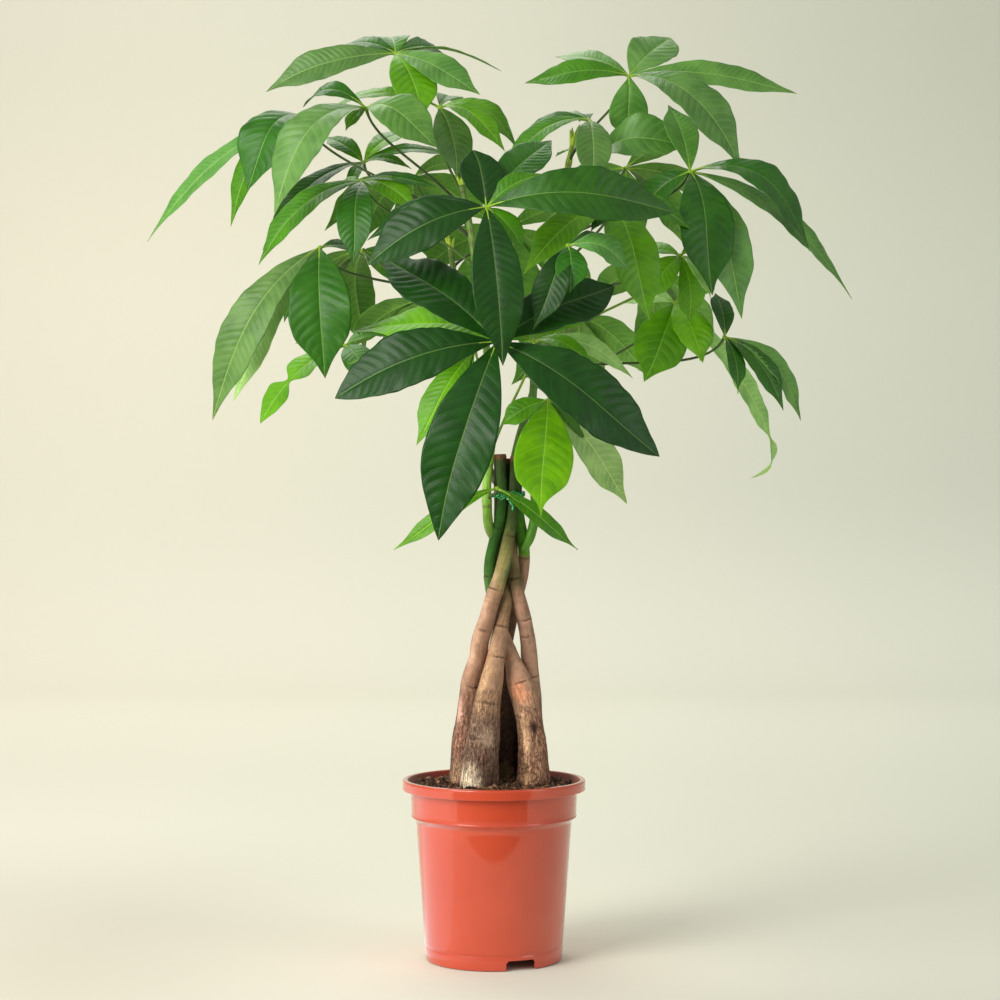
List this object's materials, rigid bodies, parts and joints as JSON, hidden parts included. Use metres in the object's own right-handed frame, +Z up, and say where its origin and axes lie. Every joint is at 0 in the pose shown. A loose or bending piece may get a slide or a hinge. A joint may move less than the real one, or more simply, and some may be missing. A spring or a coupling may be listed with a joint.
{
  "type": "potted money tree",
  "caption": "Braided-trunk money tree with palmate compound leaves, standing in soil in a round plastic nursery pot.",
  "frame": {"origin": "centre of the bounding box in the plane that the pot stands on, which is on the pot's axis to within 6 mm", "axes": "+Z up along the pot's axis, -Y towards the viewer of the picture, +X to the right"},
  "size_m": [0.6613, 0.4554, 0.876],
  "materials": {
    "pot_plastic": "glossy terracotta-red moulded plastic",
    "soil": "damp dark peat with fibres, matt",
    "bark": "grey-brown striated bark, pinkish brown and smooth higher up, olive at the top",
    "green_stem": "smooth green young stem, satin",
    "leaf": "dark green glossy blade with pale veins",
    "leaf_young": "bright green satin blade with pale veins",
    "tie_foil": "shiny green foil-covered twist wire"
  },
  "bodies": {
    "root": {"pot": "pot_plastic", "soil": "soil", "trunk_left": "bark", "trunk_front": "bark", "trunk_right": "bark", "trunk_right_rear": "bark", "trunk_rear": "bark", "tie": "tie_foil", "shoot_left": "green_stem", "shoot_right": "green_stem", "shoot_rear_left": "green_stem", "shoot_rear_right": "green_stem", "leaf_top_left": "leaf", "leaf_top_right": "leaf", "leaf_upper_left": "leaf", "leaf_upper_mid": "leaf", "leaf_left_inner": "leaf", "leaf_left": "leaf", "leaf_left_low": "leaf", "leaf_outer_left": "leaf", "leaf_low_left": "leaf_young", "leaf_front_high": "leaf", "leaf_front": "leaf", "leaf_front_mid": "leaf", "leaf_front_right": "leaf", "leaf_right_inner": "leaf", "leaf_top_young": "leaf_young", "leaf_upper_right": "leaf", "leaf_right": "leaf", "leaf_right_young": "leaf_young", "leaf_right_low": "leaf_young", "leaf_outer_right": "leaf", "leaf_low_front": "leaf_young", "leaf_low_centre": "leaf_young", "leaf_mid_left": "leaf_young", "leaf_rear_high": "leaf", "leaf_rear": "leaf", "leaf_rear_right_high": "leaf", "leaf_rear_right": "leaf", "leaf_rear_left": "leaf", "leaf_rear_low_left": "leaf", "leaf_rear_low_right": "leaf"}
  },
  "joints": []
}
